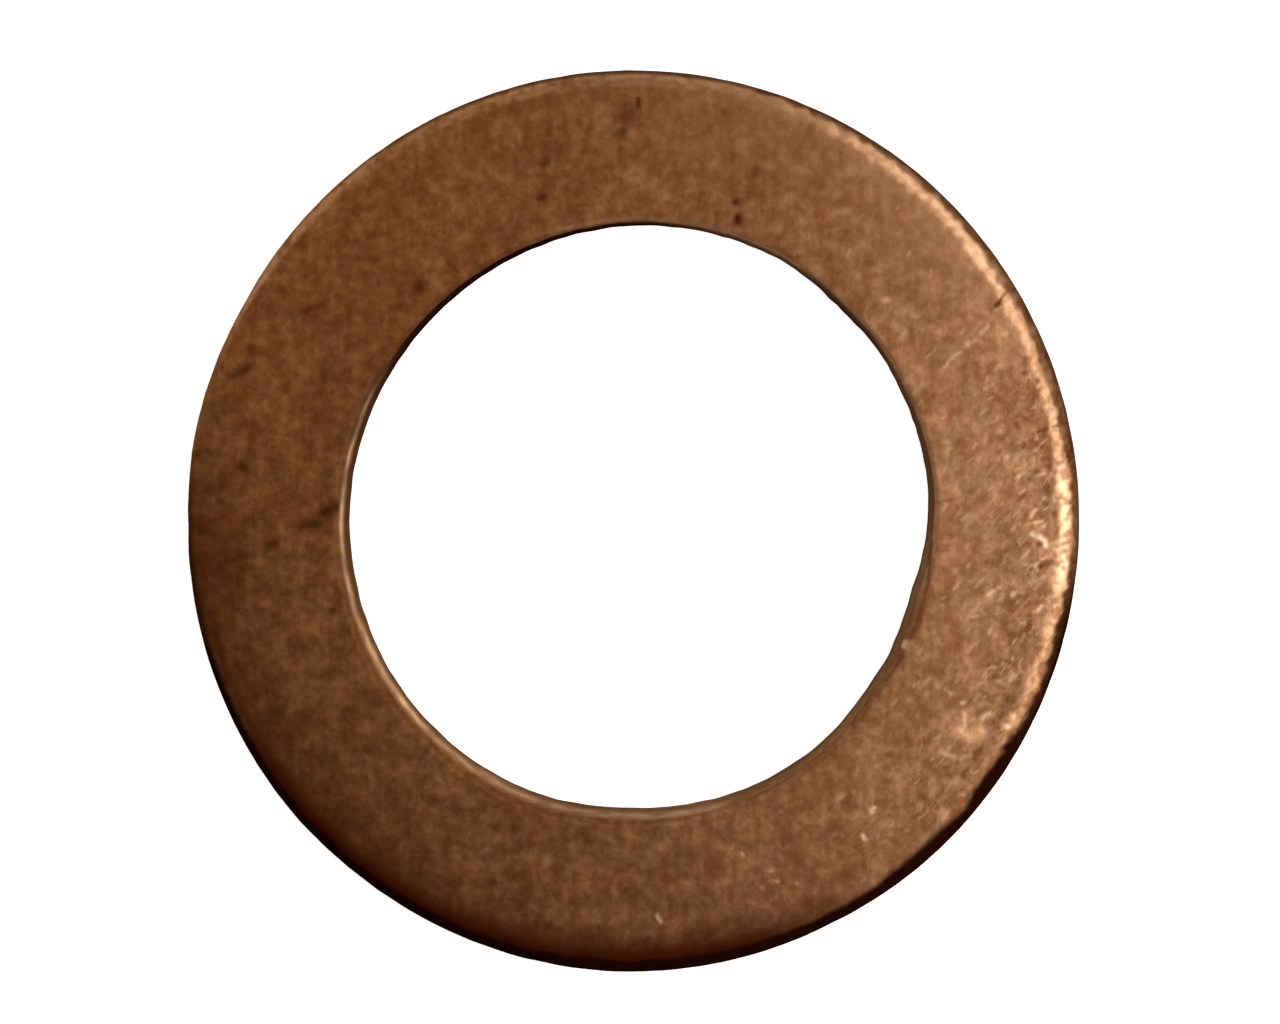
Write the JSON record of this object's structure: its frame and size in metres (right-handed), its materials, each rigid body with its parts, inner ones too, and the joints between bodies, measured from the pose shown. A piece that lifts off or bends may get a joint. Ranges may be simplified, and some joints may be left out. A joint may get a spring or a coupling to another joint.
{
  "type": "copper crush washer",
  "caption": "Flat solid copper sealing ring with rolled edges, crushed under a bolt head or drain plug to seal the joint.",
  "frame": {"origin": "centre of the bore on the lower face, on which the washer lies", "axes": "+Z along the bore axis, up through the face with the rolled edges; X and Y lie in the lower face"},
  "size_m": [0.018, 0.018, 0.0015],
  "materials": {
    "copper": "satin"
  },
  "bodies": {
    "root": {"washer": "copper"}
  },
  "joints": []
}
